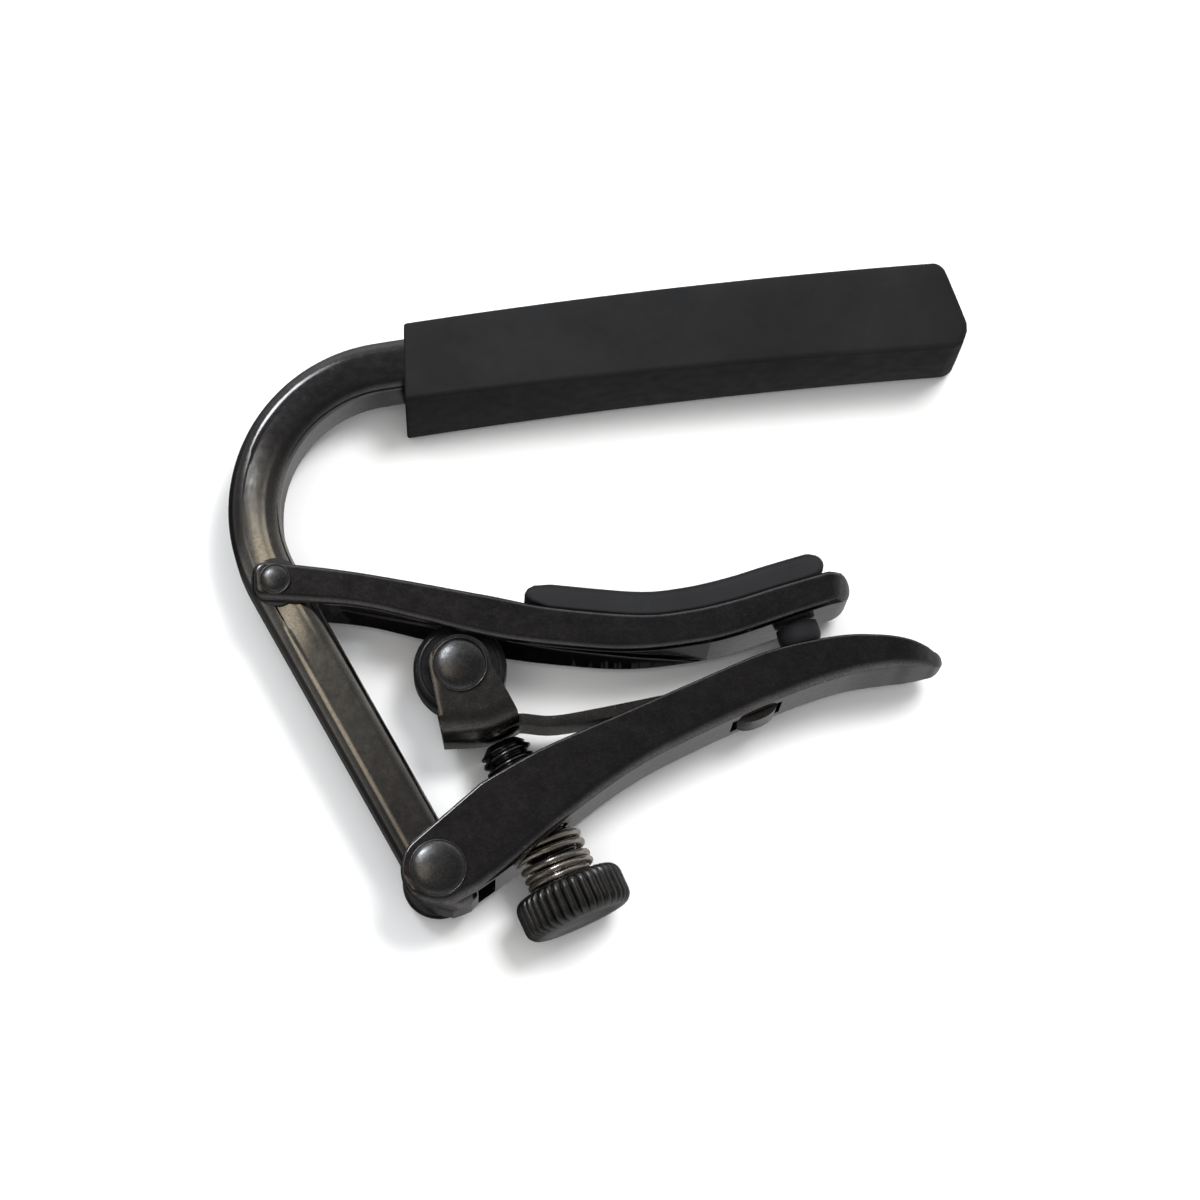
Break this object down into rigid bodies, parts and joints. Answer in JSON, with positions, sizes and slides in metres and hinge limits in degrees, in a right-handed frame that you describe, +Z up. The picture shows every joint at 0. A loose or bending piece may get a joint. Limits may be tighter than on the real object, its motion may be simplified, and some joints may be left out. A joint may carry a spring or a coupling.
{
  "type": "guitar capo",
  "caption": "Lever guitar capo: a bent bar with a rubber sleeve, a padded lower arm and an over-centre lever with a screw-adjusted roller that clamps a neck.",
  "frame": {"origin": "middle of the underside of the bounding box, with the capo lying flat on its side", "axes": "+X along the sleeve away from the bend, +Y from the lever towards the sleeve, +Z up through the thickness"},
  "size_m": [0.0794, 0.0734, 0.0138],
  "materials": {
    "black_chrome": "smoky black chrome, glossy",
    "black_metal": "satin black chrome",
    "sleeve_rubber": "matt moulded rubber",
    "pad_rubber": "smooth dark rubber",
    "roller_nylon": "satin black",
    "washer_nylon": "matt",
    "spring_wire": "bright drawn wire",
    "bushing_bronze": "turned bronze"
  },
  "bodies": {
    "frame_bar": {"main_bar": "black_chrome", "string_sleeve": "sleeve_rubber", "arm_rivet": "black_metal", "lever_rivet": "black_metal", "arm_washer_near": "washer_nylon", "arm_washer_far": "washer_nylon", "lever_washer_near": "washer_nylon", "lever_washer_far": "washer_nylon"},
    "arm": {"lower_arm": "black_chrome", "saddle_pad": "pad_rubber", "bumper": "pad_rubber"},
    "lever": {"lever": "black_chrome"},
    "bracket": {"roller_bracket": "black_chrome", "roller_rivet": "black_metal", "roller_bushing": "bushing_bronze", "roller_washer_near": "washer_nylon", "roller_washer_far": "washer_nylon"},
    "roller": {"roller": "roller_nylon"},
    "screw_carrier": {"screw_spring": "spring_wire"},
    "thumbscrew": {"adjusting_screw": "black_chrome", "screw_knob": "black_metal"}
  },
  "joints": [
    {"name": "arm_pivot", "type": "hinge", "parent": "frame_bar", "child": "arm", "pos_m": [-0.03439, 0.00096, 0.0069], "axis": [0, 0, 1], "range_deg": [0, 19.5]},
    {"name": "lever_pivot", "type": "hinge", "parent": "frame_bar", "child": "lever", "pos_m": [-0.01689, -0.02984, 0.0069], "axis": [0, 0, 1], "range_deg": [-100, 0]},
    {"name": "bracket_tilt", "type": "hinge", "parent": "lever", "child": "bracket", "pos_m": [0.01671, -0.01194, 0.0069], "axis": [0, 0, 1], "range_deg": [0, 8.82]},
    {"name": "roller_spin", "type": "hinge", "parent": "bracket", "child": "roller", "pos_m": [-0.01479, -0.00784, 0.0069], "axis": [0, 0, 1], "continuous": true},
    {"name": "screw_travel", "type": "slide", "parent": "lever", "child": "screw_carrier", "axis": [0.4108, -0.9117, 0], "range_m": [0, 0.004], "deforming": ["screw_spring"]},
    {"name": "screw_turn", "type": "hinge", "parent": "screw_carrier", "child": "thumbscrew", "pos_m": [-0.01044, -0.01529, 0.0069], "axis": [0.4108, -0.9117, 0], "range_deg": [0, 1440.1]}
  ],
  "couplings": [
    {"joint": "screw_turn", "follows": "screw_travel", "rad_per_m": 6283.2},
    {"joint": "bracket_tilt", "follows": "screw_travel", "rad_per_m": 38.257}
  ]
}
